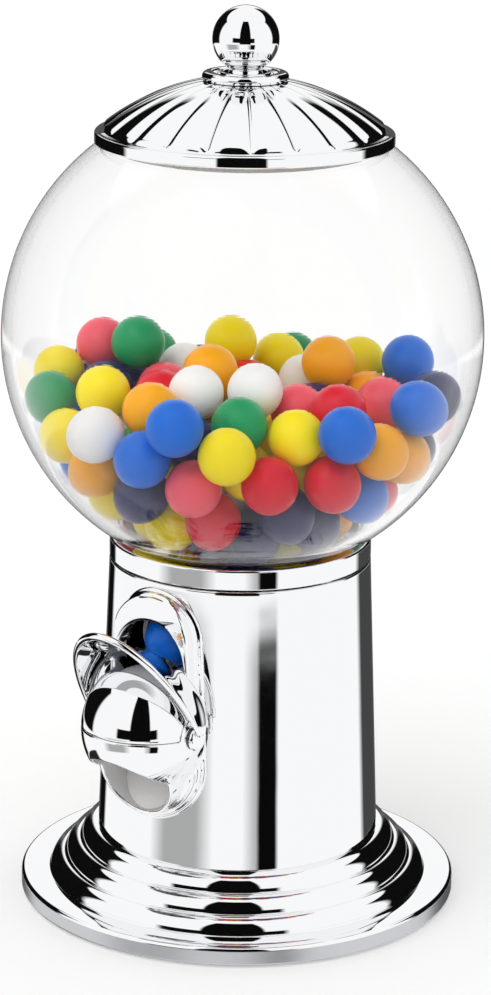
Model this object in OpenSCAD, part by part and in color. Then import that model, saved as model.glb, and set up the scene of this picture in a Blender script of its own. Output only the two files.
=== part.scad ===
// Table-top gumball machine: a glass globe on a tapered column with a stepped
// round base, a fluted lid with a ball knob, and a pod-shaped spout whose
// lever turns a gate. Millimetres. The origin is the middle of the underside,
// +Z is up and the spout faces -Y.

/* [Base] */
// Radius of the base flange
base_r = 65.2; // [60:0.1:72]
// Height of the top of the base flange
flange_z = 6; // [5:0.1:8]
// Rounding of the flange's upper edge
flange_round = 1.1; // [0.4:0.1:1.6]
// Height and run of one rounded step
step_rise = 4.7; // [4:0.1:5.4]
// Number of rounded steps
step_count = 3; // [2:1:4]
// Wall of the base casting
base_wall = 2.2; // [1.6:0.1:3]
// Thickness of the bottom plate
plate_t = 1.8; // [1.2:0.1:3]
// Radius of a rubber foot
foot_r = 6; // [4:0.1:8]
// Radius of the circle that the feet lie on
foot_circle = 50; // [40:0.5:54]
// Height of a rubber foot
foot_h = 2; // [1.4:0.1:3]

/* [Column] */
// Radius of the column at its foot
column_foot_r = 42; // [40:0.1:46]
// Radius of the column at its top, which the collar shares
column_top_r = 38.6; // [37.5:0.1:41]
// Height of the seam between column and collar
seam_z = 104; // [102:0.1:110]
// Wall of the column
column_wall = 1.6; // [1.2:0.1:2.4]
// Height of the collar ring above the seam
collar_h = 6.6; // [5:0.1:8]
// Gap drawn at the seam
seam_gap = 0.5; // [0.2:0.05:1]

/* [Globe] */
// Outer radius of the globe
globe_r = 70; // [66:0.1:76]
// Thickness of the glass
glass_t = 2.8; // [2:0.1:4]
// Inner radius of the neck at the bottom
neck_r = 25; // [23:0.1:27]
// Wall of the neck
neck_wall = 2.8; // [2:0.1:3.2]
// Length of the neck below the glass floor of the collar
neck_drop = 5.6; // [5:0.1:7]
// Radius of the mouth at the top
mouth_r = 37; // [34:0.1:39]
// Clearance between the glass and the pieces that hold it
glass_gap = 0.3; // [0.2:0.05:0.6]

/* [Lid] */
// Radius of the rim band
lid_r = 43; // [42:0.1:46]
// Height of the rim band
band_h = 3.5; // [2.5:0.1:5]
// Height of the dome above the band
dome_h = 14.4; // [11:0.1:18]
// Number of flutes
flute_count = 20; // [12:1:28]
// Depth of the groove between two flutes at the rim
flute_depth = 1.5; // [0.6:0.1:2]
// Turn of the flutes about the machine's axis
flute_turn = -5; // [-9:0.5:9]
// Thickness of the dome's sheet
dome_t = 1.2; // [0.8:0.1:2]
// Radius of the disc under the knob
disc_r = 12.4; // [10:0.1:15]
// Thickness of that disc
disc_h = 2.6; // [1.6:0.1:4]
// Radius of the ball knob
knob_r = 9.55; // [8:0.05:12]
// Radius of the knob's neck
knob_neck_r = 4.8; // [4:0.1:6]
// Radius of the threaded stud through the lid
stud_r = 2; // [1.5:0.1:2.5]

/* [Spout] */
// Height of the lever's pivot
pivot_z = 62.5; // [60:0.1:65]
// Distance of the pivot in front of the column's surface
pivot_out = 3.7; // [3:0.1:5]
// Radius of the pod across its pivot axis
pod_r = 19.7; // [19:0.1:20.4]
// Half width of the pod
pod_half = 17.6; // [17.2:0.1:18.2]
// Wall of the pod
pod_wall = 1.5; // [1.2:0.1:1.8]
// Radius of the lower, larger end of the escutcheon
plate_low_r = 17; // [16.5:0.1:18]
// Height of the middle of that lower end
plate_low_z = 50.4; // [49:0.1:52]
// Radius of the upper end of the escutcheon
plate_high_r = 14.6; // [14.2:0.1:15.2]
// Height of the middle of that upper end
plate_high_z = 88.2; // [87:0.1:88.6]
// Height by which each of the escutcheon's three layers stands out
layer_h = 1; // [0.6:0.1:1.3]
// Amount by which each layer is smaller than the one below it
layer_inset = 1.2; // [0.8:0.1:1.6]
// Radius of the window under the hood
window_r = 12; // [11.4:0.1:12.3]
// Height of the middle of the window
window_z = 81.6; // [81:0.1:82]
// How far the hood's face lies behind the pivot
hood_back = 1; // [0:0.1:2]
// Angle of the seam between the front cover and the jaw
seam_angle = 3; // [0:0.5:8]
// Angle of the front cover's upper rim
rim_angle = 68; // [62:0.5:72]

/* [Lever] */
// Angle of the lever's lip at rest
lip_angle = 56; // [54:0.5:60]
// Angle of the lever's rear edge at rest
lever_rear_angle = 90; // [88:0.5:94]
// Reach of the lip from the pivot
lip_reach = 37.5; // [34:0.1:40]
// Thickness of the lever's shell
lever_t = 1.5; // [1.2:0.1:2]
// Clearance between the lever and the pod
lever_gap = 0.5; // [0.4:0.05:0.6]
// Radius of the lever's ears
ear_r = 5.5; // [5:0.1:6.5]
// Radius of the pivot pins
pin_r = 2; // [1.6:0.05:2.4]
// Running clearance of the pins in their bushes
pin_gap = 0.05; // [0.03:0.01:0.08]
// Half width of the gate
gate_half = 11.9; // [11.6:0.1:12]
// Thickness of the gate
gate_t = 1.3; // [1.1:0.1:1.6]
// Clearance round the gate
gate_gap = 0.5; // [0.4:0.05:0.6]
// Travel of the lever
lever_travel = 70; // [60:1:72]

/* [Gumballs] */
// Radius of a gumball
ball_r = 8; // [7:0.1:8.4]
// Number of gumballs in the globe
ball_count = 124; // [60:1:150]
// Gap between two gumballs
ball_gap = 0.15; // [0.1:0.01:0.3]

/* [Hidden] */
eps = 0.01;
big = 400;
wide = 100;
front_near = 20;
front_depth = 60;
$fn = 96;

// Colours
chrome = [0.82, 0.83, 0.85];
steel = [0.62, 0.63, 0.65];
plastic = [0.80, 0.80, 0.79];
rubber = [0.10, 0.10, 0.11];
clear = [0.80, 0.90, 0.95, 0.25];

// Base
plate_z = 1.2;
base_top_z = flange_z + step_count * step_rise;
column_z = base_top_z + 0.05;
flange_edge_z = foot_h - plate_z;
boss_circle = column_foot_r - 6;
plate_screw_circle = 48;
foot_stem_r = 2.2;
screw_r = 1.6;
head_r = 3;
head_h = 0.9;

// Outer radius of one step, counted from the flange
function step_r(i) = column_foot_r + 0.4 + (step_count - i) * step_rise;

// Column: a cone between the base and the seam
function column_r(z) =
    column_foot_r + (column_top_r - column_foot_r) * (z - column_z) / (seam_z - column_z);
pivot_y = column_r(pivot_z) + pivot_out;
sleeve_y = pivot_y - 12;
ledge_z = 94;
ledge_t = 1.5;
ledge_r = column_top_r - 5;
collar_screw_circle = column_top_r - 3.4;
collar_screw_r = 0.9;

// Collar and globe
collar_z = seam_z + seam_gap;
collar_top_z = seam_z + collar_h;
collar_floor_z = seam_z - 2;
collar_floor_t = 2;
collar_round = 0.8;
collar_wall = 2.2;
spigot_gap = 0.15;
spigot_wall = 2.6;
spigot_r = column_top_r - column_wall - spigot_gap;
hopper_flange_t = 1.5;
gasket_in_r = column_top_r - 5;
gasket_z = collar_z + 1;
globe_z = collar_top_z + 0.6 + sqrt(pow(globe_r, 2) - pow(column_top_r - 1, 2));
glass_r = globe_r - glass_t;
neck_out_r = neck_r + neck_wall;
neck_z = seam_z - neck_drop;
lock_gap = 1.85;
lock_r = spigot_r - spigot_wall - lock_gap;
lock_h = 3;

// Hopper
hopper_t = 1.4;
hopper_z = ledge_z + ledge_t;
hopper_flange_r = column_r(hopper_z) - column_wall - 0.5;
throat_r = ball_r + 1.2;
throat_y = sleeve_y + 0.6;
throat_z = hopper_z - throat_r - 0.2;

// Lid
mouth_z = globe_z + sqrt(pow(globe_r, 2) - pow(mouth_r, 2));
band_z = globe_z + sqrt(pow(globe_r, 2) - pow(lid_r - 0.9, 2)) + 0.35;
band_in_r = lid_r - 2.6;
dome_z = band_z + band_h;
dome_r = lid_r - 1.3;
dome_top_z = dome_z + dome_h;
dome_rim_h = flute_depth + 0.2;
disc_z = dome_top_z;
knob_z = disc_z + disc_h + knob_r - 0.3;
liner_gap = 0.6;
liner_r = mouth_r - liner_gap;
liner_t = 1.6;
liner_depth = 6;
nut_h = 3.2;
washer_t = 1;
stud_drop = 8.5;

// Spout
hood_reach = pivot_y - hood_back;
pod_flat = pod_r - pod_half;
cavity_half = gate_half + gate_gap;
opening_r = cavity_half + 1.3;
insert_gap = 0.3;
opening_low_z = 50.1;
seat_gap = 0.05;
hood_round = 14.2;
hood_round_z = plate_high_z + 4.6;
hood_low_z = 66;
gate_from = lip_angle + 2;
gate_past_rim = 12;
gate_to = rim_angle + lever_travel - gate_past_rim;
rear_angle = gate_to + 2;
jaw_z = 49;
outlet_r = 12;
outlet_wall = 1.1;
outlet_y = pivot_y + 5.6;
outlet_z = 48;
outlet_tilt = 17;
outlet_len = 18;
outlet_bore = outlet_len - 4;
slide_slope = 60;
slide_t = 1.4;
slide_y = pivot_y + 1.6;
slide_z = 35.6;
slide_top_z = 57;
part_gap = 0.1;
bush_wall = 1.4;
bush_r = pin_r + pin_gap + bush_wall;
cheek_r = bush_r + 2.6;
ear_x = pod_half + lever_gap;
pin_depth = 0.9;
spring_wire = 0.45;
spring_turns = 2.5;
spring_r = bush_r;
spring_pocket_r = spring_r + 1.2;
spring_pocket = 2.4;
gate_r_in = pod_half - pod_wall - gate_gap;
spout_screw_r = 0.9;
spout_screw_len = 3.6;
spout_screws_at = [[12.1, 91.2], [-12.1, 91.2], [14.1, 44.6], [-14.1, 44.6]];

// ---- shared shapes ----

// Copies its children n times round the Z axis
module ring_of(n, start = 0) {
    for (i = [0 : n - 1]) rotate([0, 0, start + i * 360 / n]) children();
}

// Pan-head screw pointing up, with the underside of its head at the origin
module screw_up(len, r = screw_r) {
    translate([0, 0, -head_h / 2]) cylinder(r = r, h = len + head_h / 2);
    translate([0, 0, -head_h]) cylinder(r = r * head_r / screw_r, h = head_h);
}

// A flat ring between two heights
module tube(r_out, r_in, z0, z1) {
    difference() {
        translate([0, 0, z0]) cylinder(r = r_out, h = z1 - z0);
        translate([0, 0, z0 - 1]) cylinder(r = r_in, h = z1 - z0 + 2);
    }
}

// ---- base ----

// Outline of one rounded step: a disc with a quarter-round shoulder
module step_profile(r, z) {
    translate([r - step_rise, z]) intersection() {
        circle(step_rise);
        square(step_rise);
    }
    translate([0, flange_edge_z]) square([r, z - flange_edge_z]);
    translate([0, z - eps]) square([r - step_rise, step_rise + eps]);
}

module base_casting() {
    color(chrome) difference() {
        union() {
            difference() {
                rotate_extrude() base_profile();
                base_pockets();
            }
            ring_of(4) translate([plate_screw_circle, 0, plate_z + plate_t + seat_gap])
                cylinder(r = 4, h = flange_z + step_rise - base_wall - plate_z - plate_t);
        }
        cylinder(r = boss_circle - 6, h = big);
        ring_of(4, 45) translate([boss_circle, 0, 0]) cylinder(r = screw_r + 0.2, h = big);
        ring_of(4) translate([plate_screw_circle, 0, -1]) cylinder(r = screw_r, h = 9);
    }
}

module base_profile() {
    for (i = [0 : step_count - 1])
        step_profile(step_r(i), flange_z + i * step_rise);
    translate([0, flange_edge_z])
        square([base_r, flange_z - flange_round - flange_edge_z]);
    translate([0, flange_z - flange_round])
        square([base_r - flange_round, flange_round]);
    translate([base_r - flange_round, flange_z - flange_round]) intersection() {
        circle(flange_round);
        square(flange_round);
    }
}

// Hollow underside: a pocket under each step and one under the flange
module base_pockets() {
    for (i = [0 : step_count - 1])
        translate([0, 0, -1]) cylinder(r = step_r(i) - step_rise / 2 - base_wall,
            h = flange_z + (i + 1) * step_rise - base_wall + 1);
    translate([0, 0, -1]) cylinder(r = base_r - base_wall,
        h = flange_z - base_wall + 1);
}

module base_plate() {
    color(steel) difference() {
        translate([0, 0, plate_z])
            cylinder(r = base_r - base_wall - 0.3, h = plate_t);
        ring_of(4) translate([plate_screw_circle, 0, 0])
            cylinder(r = screw_r + 0.2, h = big);
        ring_of(4, 45) translate([foot_circle, 0, 0])
            cylinder(r = foot_stem_r + 0.05, h = big);
    }
}

module rubber_feet() {
    color(rubber) ring_of(4, 45) translate([foot_circle, 0, 0]) {
        cylinder(r = foot_r, h = plate_z);
        cylinder(r = foot_stem_r, h = plate_z + plate_t + eps);
        translate([0, 0, plate_z + plate_t]) cylinder(r = foot_stem_r + 0.5, h = 0.8);
    }
}

module base_screws() {
    color(steel) ring_of(4) translate([plate_screw_circle, 0, plate_z]) screw_up(6.5);
}

module column_screws() {
    color(steel) ring_of(4, 45)
        translate([boss_circle, 0, base_top_z - base_wall]) screw_up(9);
}

// ---- column ----

// The column's solid cone, made thicker or thinner by grow
module column_cone(grow = 0) {
    translate([0, 0, column_z]) cylinder(r1 = column_foot_r + grow,
        r2 = column_top_r + grow, h = seam_z - column_z);
}

// Stadium-shaped passage through the column's wall, along -Y
module spout_passage(r) {
    rotate([90, 0, 0]) translate([0, 0, front_near]) linear_extrude(front_depth) {
        translate([0, opening_low_z]) circle(r);
        translate([0, window_z]) circle(r);
        translate([-r, opening_low_z]) square([2 * r, window_z - opening_low_z]);
    }
}

module column_shell() {
    color(chrome) difference() {
        union() {
            difference() {
                column_cone();
                translate([0, 0, column_z - eps]) cylinder(
                    r1 = column_foot_r - column_wall, r2 = column_top_r - column_wall,
                    h = seam_z - column_z + 2 * eps);
            }
            intersection() {
                tube(column_foot_r, ledge_r, ledge_z, hopper_z);
                column_cone(-column_wall / 2);
            }
            ring_of(4, 45) translate([boss_circle, 0, column_z]) cylinder(r = 4.8, h = 9);
        }
        spout_passage(opening_r);
        ring_of(4, 45) translate([boss_circle, 0, 0]) cylinder(r = screw_r, h = column_z + 7);
        ring_of(3, 90) translate([collar_screw_circle, 0, ledge_z - 2])
            cylinder(r = collar_screw_r + 0.15, h = 6);
        for (p = spout_screws_at) translate([p[0], -front_near, p[1]]) rotate([90, 0, 0])
            cylinder(r = spout_screw_r + 0.15, h = front_depth);
    }
}

// ---- collar ----

module collar_ring() {
    color(chrome) difference() {
        union() {
            rotate_extrude() difference() {
                union() {
                    translate([0, collar_z])
                        square([column_top_r, collar_h - seam_gap - collar_round]);
                    translate([0, collar_z])
                        square([column_top_r - collar_round, collar_h - seam_gap]);
                    translate([column_top_r - collar_round, collar_top_z - collar_round])
                        circle(collar_round);
                }
                translate([-eps, collar_z - 1])
                    square([column_top_r - collar_wall, collar_h + 2]);
            }
            tube(spigot_r, spigot_r - spigot_wall, hopper_z + hopper_flange_t + seat_gap,
                gasket_z);
            tube(column_top_r - collar_wall + eps, neck_out_r + glass_gap,
                collar_floor_z, collar_floor_z + collar_floor_t);
        }
        ring_of(3, 90) translate([collar_screw_circle, 0, hopper_z])
            cylinder(r = collar_screw_r, h = 6);
        translate([0, 0, globe_z]) sphere(globe_r + glass_gap);
    }
}

module collar_screws() {
    color(steel) ring_of(3, 90) translate([collar_screw_circle, 0, ledge_z])
        screw_up(6.5, collar_screw_r);
}

module globe_gasket() {
    color(rubber) difference() {
        tube(column_top_r - collar_wall - 0.1, gasket_in_r,
            gasket_z, collar_top_z - 0.4);
        translate([0, 0, globe_z]) sphere(globe_r + glass_gap);
    }
}

module globe_lock_ring() {
    color(plastic) difference() {
        tube(lock_r, neck_out_r + 0.1, collar_floor_z - lock_h - 0.1, collar_floor_z - 0.1);
        ring_of(6) translate([lock_r + 0.4, 0, 0]) cylinder(r = 1.4, h = big);
    }
}

// ---- globe ----

module globe() {
    color(clear) difference() {
        union() {
            translate([0, 0, globe_z]) sphere(globe_r);
            translate([0, 0, neck_z]) cylinder(r = neck_out_r, h = globe_z - globe_r / 2 - neck_z);
        }
        translate([0, 0, globe_z]) sphere(glass_r);
        translate([0, 0, neck_z - 1]) cylinder(r = neck_r, h = globe_z - neck_z);
        translate([0, 0, globe_z]) cylinder(r = mouth_r, h = big);
    }
}

// ---- hopper ----

// Slanting funnel from the neck to the throat, drawn at a given inset
module funnel(grow) {
    hull() {
        translate([0, 0, hopper_z - eps]) cylinder(r = neck_r + grow, h = eps, $fn = 48);
        translate([0, -throat_y + 3, throat_z]) rotate([90, 0, 0])
            cylinder(r = throat_r + grow, h = 3, $fn = 32);
    }
}

module hopper() {
    color(plastic) {
        difference() {
            funnel(hopper_t);
            funnel(0);
            translate([0, -throat_y - 1 + eps, throat_z]) rotate([-90, 0, 0])
                cylinder(r = throat_r, h = 3);
            translate([0, 0, hopper_z - 1]) cylinder(r = neck_r, h = hopper_t + 2);
        }
        difference() {
            tube(hopper_flange_r, neck_r, hopper_z, hopper_z + hopper_flange_t);
            ring_of(3, 90) translate([collar_screw_circle, 0, hopper_z - 1])
                cylinder(r = collar_screw_r + 0.15, h = 6);
        }
        tube(neck_r + hopper_t, neck_r, hopper_z, neck_z - seat_gap);
    }
}

// ---- spout ----

// Puts children drawn round the pivot into place
module at_pivot() {
    translate([0, -pivot_y, pivot_z]) children();
}

// The pod: a sphere drawn apart along X, made thicker or thinner by grow
module pod(grow = 0) {
    at_pivot() rotate([110, 0, 0]) rotate([0, 90, 0]) rotate_extrude() {
        intersection() {
            translate([pod_flat, 0]) circle(pod_half + grow);
            translate([pod_flat, -pod_half - grow]) square(2 * (pod_half + grow));
        }
        translate([0, -pod_half - grow]) square([pod_flat + eps, 2 * (pod_half + grow)]);
    }
}

// Sector about the pivot between two angles above the forward direction
module sector(a0, a1, half = 30, reach = 60) {
    mid = (a0 + a1) / 2;
    at_pivot() rotate([90, 0, 90]) linear_extrude(2 * half, center = true)
        polygon([[0, 0], [-cos(a0), sin(a0)] * reach, [-cos(mid), sin(mid)] * reach * 1.5,
            [-cos(a1), sin(a1)] * reach]);
}

// Cylinder along X at the pivot
module pivot_cylinder(r, x0, x1) {
    at_pivot() translate([x0, 0, 0]) rotate([0, 90, 0]) cylinder(r = r, h = x1 - x0);
}

// Egg-shaped outline of the escutcheon
function egg_lean() = asin((plate_low_r - plate_high_r) / (plate_high_z - plate_low_z));
function egg_arc(r, z, a0, a1, n) =
    [for (i = [0 : n]) let (a = a0 + (a1 - a0) * i / n) [r * cos(a), z + r * sin(a)]];
module egg_block(inset, z0 = 0) {
    rotate([90, 0, 0]) translate([0, 0, front_near]) linear_extrude(front_depth) intersection() {
        polygon(concat(
            egg_arc(plate_high_r - inset, plate_high_z, egg_lean(), 180 - egg_lean(), 28),
            egg_arc(plate_low_r - inset, plate_low_z, 180 - egg_lean(), 360 + egg_lean(), 36)));
        translate([-wide, z0]) square(2 * wide);
    }
}

// Cylinder along the outlet, from s0 to s1 behind the outlet's face
module outlet_cylinder(r, s0, s1) {
    translate([0, -outlet_y, outlet_z]) rotate([outlet_tilt - 90, 0, 0])
        translate([0, 0, s0]) cylinder(r = r, h = s1 - s0);
}

// Box on the outer side of the outlet's face
module outlet_front() {
    translate([0, -outlet_y, outlet_z]) rotate([outlet_tilt - 90, 0, 0])
        translate([-wide, -wide, -wide]) cube([2 * wide, 2 * wide, wide]);
}

// Cylinder along Y from y0 to y1 in front of the axis
module along_y(r, z, y0, y1) {
    translate([0, -y0, z]) rotate([90, 0, 0]) cylinder(r = r, h = y1 - y0);
}

// Space that the gate turns in
module pod_cavity() {
    intersection() {
        pod(-pod_wall);
        at_pivot() cube([2 * cavity_half, wide, wide], center = true);
    }
}

// Escutcheon in three layers, with the hood over the window
module spout_plate() {
    difference() {
        union() {
            for (i = [0 : 2]) intersection() {
                egg_block(i * layer_inset);
                column_cone((i + 1) * layer_h);
            }
            intersection() {
                egg_block(layer_inset, hood_low_z);
                union() {
                    translate([-wide, -hood_reach + hood_round, hood_round_z])
                        rotate([0, 90, 0]) cylinder(r = hood_round, h = 2 * wide);
                    translate([-wide, -hood_reach, hood_low_z])
                        cube([2 * wide, front_near, hood_round_z - hood_low_z]);
                }
            }
        }
        column_cone(seat_gap);
    }
}

// Pod, window sleeve and outlet, which pass through the column's wall
module spout_throat() {
    insert_r = opening_r - insert_gap;
    difference() {
        union() {
            pod();
            along_y(insert_r, window_z, sleeve_y, pivot_y - 2);
            outlet_cylinder(outlet_r + outlet_wall, 0, outlet_len);
        }
        difference() {
            column_cone(seat_gap);
            spout_passage(insert_r);
        }
    }
}

module spout_body() {
    color(chrome) difference() {
        union() {
            spout_plate();
            spout_throat();
        }
        pod_cavity();
        along_y(window_r, window_z, sleeve_y - 1, front_near + front_depth);
        outlet_cylinder(outlet_r, -1, outlet_bore);
        // way in for the gumballs, over the gate
        intersection() {
            pod(2);
            sector(rim_angle, rear_angle, cavity_half);
        }
        // seat of the front cover
        difference() {
            intersection() {
                pod(1);
                sector(seam_angle - part_gap, rim_angle);
            }
            pod(-pod_wall - part_gap);
            pivot_cylinder(cheek_r - part_gap, -pod_half, pod_half);
        }
        // room in front of the outlet, under the jaw
        intersection() {
            outlet_front();
            translate([-wide, -wide, 0]) cube([2 * wide, wide, jaw_z]);
        }
        // clearance for the hopper's throat
        along_y(throat_r + hopper_t + 0.4, throat_z, front_near, throat_y + 0.8);
        pivot_cylinder(bush_r + 0.02, -pod_half - 1, pod_half + 1);
        pivot_cylinder(spring_pocket_r, -cavity_half - spring_pocket, -cavity_half + 1);
        for (p = spout_screws_at) at_spout_screw(p)
            cylinder(r = spout_screw_r, h = spout_screw_len + 0.3);
    }
}

module spout_front_cover() {
    color(chrome) difference() {
        intersection() {
            pod();
            sector(seam_angle, rim_angle);
        }
        pod(-pod_wall);
        pivot_cylinder(cheek_r, -wide, wide);
    }
}

// Height of the column's inner wall in front of the axis, at x and z
function column_inner_y(x, z) = sqrt(pow(column_r(z) - column_wall, 2) - x * x);

// Puts a spout screw, drawn along Z from the seat of its head, into place
module at_spout_screw(p) {
    translate([p[0], -column_inner_y(abs(p[0]) + 1.7, p[1]) + seat_gap, p[1]])
        rotate([90, 0, 0]) children();
}

module spout_screws() {
    color(steel) for (p = spout_screws_at) at_spout_screw(p)
        screw_up(spout_screw_len, spout_screw_r);
}

module outlet_slide() {
    color(plastic) intersection() {
        translate([0, -slide_y, slide_z]) rotate([slide_slope, 0, 0])
            translate([-wide, -wide, -slide_t]) cube([2 * wide, 2 * wide, slide_t]);
        union() {
            outlet_cylinder(outlet_r - part_gap, 0, outlet_bore - part_gap);
            pod(-pod_wall - part_gap);
        }
        at_pivot() cube([2 * (cavity_half - part_gap), wide, wide], center = true);
        translate([-wide, -wide, 0]) cube([2 * wide, wide, slide_top_z]);
        translate([0, -outlet_y, outlet_z]) rotate([outlet_tilt - 90, 0, 0])
            translate([-wide, -wide, 1]) cube([2 * wide, 2 * wide, wide]);
    }
}

// ---- lever and gate ----

module pivot_bushes() {
    color(steel) for (side = [0, 1]) mirror([side, 0, 0]) difference() {
        pivot_cylinder(bush_r, cavity_half + (side == 1 ? spring_pocket : 0), pod_half);
        pivot_cylinder(pin_r + pin_gap, 0, wide);
    }
}

module pivot_pins() {
    color(steel) for (side = [0, 1]) mirror([side, 0, 0])
        pivot_cylinder(pin_r, gate_half - gate_t, ear_x + pin_depth - 0.05);
}

module dispensing_gate() {
    color(plastic) difference() {
        union() {
            intersection() {
                difference() {
                    pod(-pod_wall - gate_gap);
                    pod(-pod_wall - gate_gap - gate_t);
                }
                sector(gate_from, gate_to, gate_half);
            }
            for (side = [0, 1]) mirror([side, 0, 0]) {
                intersection() {
                    pod(-pod_wall - gate_gap);
                    sector(gate_from, gate_to, gate_half);
                    translate([gate_half - gate_t, -wide, 0]) cube([gate_t, wide, 2 * wide]);
                }
                pivot_cylinder(4.6, gate_half - gate_t, gate_half);
            }
        }
        pivot_cylinder(pin_r + 0.01, -wide, wide);
    }
}

// A point on the lever's outer surface: across is its angle from one ear (-90)
// to the other (90), and up its angle above the forward direction
lever_half = pod_half + lever_gap + lever_t;
lever_side_rise = 12;
function lever_lift(up) =
    (lip_reach - pod_flat - lever_half)
    * pow(max(0, lever_rear_angle - up) / (lever_rear_angle - lip_angle), 2.6);
function lever_point(across, up) =
    let (r = pod_flat + (lever_half + lever_lift(up)) * cos(across))
    [lever_half * sin(across), -pivot_y - r * cos(up), pivot_z + r * sin(up)];
function unit(v) = v / norm(v);
function lever_normal(across, up) = unit(cross(
    lever_point(across + 0.1, up) - lever_point(across - 0.1, up),
    lever_point(across, up + 0.1) - lever_point(across, up - 0.1)));

module lever_shell() {
    n_across = 40;
    n_up = 9;
    function rear(a) = lever_rear_angle + lever_side_rise * pow(sin(a), 6);
    across = [for (i = [0 : n_across]) -90 + 180 * i / n_across];
    function up_at(a, j) = lip_angle + (rear(a) - lip_angle) * j / n_up;
    outer = [for (a = across) for (j = [0 : n_up]) lever_point(a, up_at(a, j))];
    inner = [for (a = across) for (j = [0 : n_up])
        lever_point(a, up_at(a, j)) - lever_t * lever_normal(a, up_at(a, j))];
    row = n_up + 1;
    count = len(outer);
    function quad(a, b, c, d) = [[a, b, c], [a, c, d]];
    faces = concat(
        [for (i = [0 : n_across - 1]) for (j = [0 : n_up - 1])
            let (k = i * row + j) each quad(k, k + 1, k + row + 1, k + row)],
        [for (i = [0 : n_across - 1]) for (j = [0 : n_up - 1])
            let (k = count + i * row + j) each quad(k, k + row, k + row + 1, k + 1)],
        [for (i = [0 : n_across - 1]) let (k = i * row)
            each quad(k, k + row, count + k + row, count + k)],
        [for (i = [0 : n_across - 1]) let (k = i * row + n_up)
            each quad(k, count + k, count + k + row, k + row)],
        [for (j = [0 : n_up - 1]) each quad(j, count + j, count + j + 1, j + 1)],
        [for (j = [0 : n_up - 1]) let (k = n_across * row + j)
            each quad(k, k + 1, count + k + 1, count + k)]);
    polyhedron(points = concat(outer, inner), faces = faces, convexity = 8);
}

module lever() {
    color(chrome) difference() {
        union() {
            lever_shell();
            for (side = [0, 1]) mirror([side, 0, 0])
                pivot_cylinder(ear_r, ear_x, ear_x + lever_t);
        }
        for (side = [0, 1]) mirror([side, 0, 0])
            pivot_cylinder(pin_r + 0.01, ear_x - 1, ear_x + pin_depth);
    }
}

// Coil round the bush's end, in the pocket of one cheek
module return_spring() {
    n = 14;
    sides = 6;
    turns = spring_turns;
    steps = round(turns * n);
    pitch = (spring_pocket - 0.3 - spring_wire) / turns;
    x0 = -cavity_half - spring_pocket + 0.15 + spring_wire / 2;
    points = [for (i = [0 : steps]) for (k = [0 : sides - 1])
        let (a = i * 360 / n, b = k * 360 / sides,
            r = spring_r - 0.2 + spring_wire / 2 * cos(b))
        [x0 + i / n * pitch + spring_wire / 2 * sin(b), r * cos(a), r * sin(a)]];
    faces = concat(
        [[for (k = [0 : sides - 1]) k]],
        [for (i = [0 : steps - 1]) for (k = [0 : sides - 1])
            let (p = i * sides + k, q = i * sides + (k + 1) % sides)
            each [[q, p, p + sides], [q, p + sides, q + sides]]],
        [[for (k = [sides - 1 : -1 : 0]) steps * sides + k]]);
    color(steel) at_pivot() polyhedron(points = points, faces = faces, convexity = 10);
}

// ---- lid ----

module lid_band() {
    color(chrome) difference() {
        tube(lid_r, band_in_r, band_z, dome_z);
        translate([0, 0, globe_z]) sphere(globe_r + glass_gap);
    }
}

// Height of the fluted dome above its seat, without and with its flutes
dome_rise = dome_h - dome_rim_h;
dome_cap_r = norm([dome_rise / 2 + (pow(dome_r, 2) - pow(disc_r, 2)) / 2 / dome_rise, disc_r]);
function dome_cap(r) = sqrt(pow(dome_cap_r, 2) - pow(min(max(r, disc_r), dome_r), 2))
    - sqrt(pow(dome_cap_r, 2) - pow(dome_r, 2));
function flute_taper(r) = flute_depth * (0.25 + 0.75 * (r - disc_r) / (dome_r - disc_r));
function dome_out(r, a) = dome_z + dome_rim_h + dome_cap(r)
    - (r < disc_r ? 0 : flute_taper(r) * (1 - abs(cos(a * flute_count / 2))));
function dome_in(r) = dome_z
    + max(0, dome_rim_h + dome_cap(r) - flute_taper(max(r, disc_r)) - dome_t);

module lid_dome() {
    per_flute = 6;
    n = flute_count * per_flute;
    radii = concat([for (i = [0 : 8]) dome_r - (dome_r - disc_r - 0.5) * i / 8], [disc_r - 2]);
    inner_radii = [for (i = [0 : 5]) dome_r - 1.2 - (dome_r - disc_r + 0.8) * i / 5];
    rows_out = len(radii);
    rows_in = len(inner_radii);
    points = concat(
        [for (r = radii) for (i = [0 : n - 1]) let (a = i * 360 / n)
            [r * cos(a), r * sin(a), dome_out(r, a)]],
        [for (r = inner_radii) for (i = [0 : n - 1]) let (a = i * 360 / n)
            [r * cos(a), r * sin(a), dome_in(r)]],
        [for (i = [0 : n - 1]) let (a = i * 360 / n)
            [dome_r * cos(a), dome_r * sin(a), dome_z]]);
    foot = (rows_out + rows_in) * n;
    function strip(a, b) = [for (i = [0 : n - 1]) let (j = (i + 1) % n)
        each [[a + i, b + j, a + j], [a + i, b + i, b + j]]];
    faces = concat(
        [for (k = [0 : rows_out - 2]) each strip(k * n, (k + 1) * n)],
        [for (k = [0 : rows_in - 2]) each strip((rows_out + k + 1) * n, (rows_out + k) * n)],
        strip(foot, 0),
        strip(rows_out * n, foot),
        [[for (i = [n - 1 : -1 : 0]) (rows_out - 1) * n + i]],
        [[for (i = [0 : n - 1]) (rows_out + rows_in - 1) * n + i]]);
    color(chrome) difference() {
        rotate([0, 0, flute_turn]) polyhedron(points = points, faces = faces, convexity = 6);
        translate([0, 0, dome_z - 1]) cylinder(r = stud_r + 0.05, h = 30);
    }
}

module lid_liner() {
    flange_r = dome_r - 4.2;
    color(plastic) {
        tube(liner_r, liner_r - liner_t, mouth_z - liner_depth, mouth_z + 0.5);
        tube(flange_r, liner_r - liner_t, mouth_z + 0.15, mouth_z + 0.9);
    }
}

module lid_gasket() {
    color(rubber)
        tube(mouth_r - 0.15, liner_r + 0.01, mouth_z - 4.5, mouth_z - 2.7);
}

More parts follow.
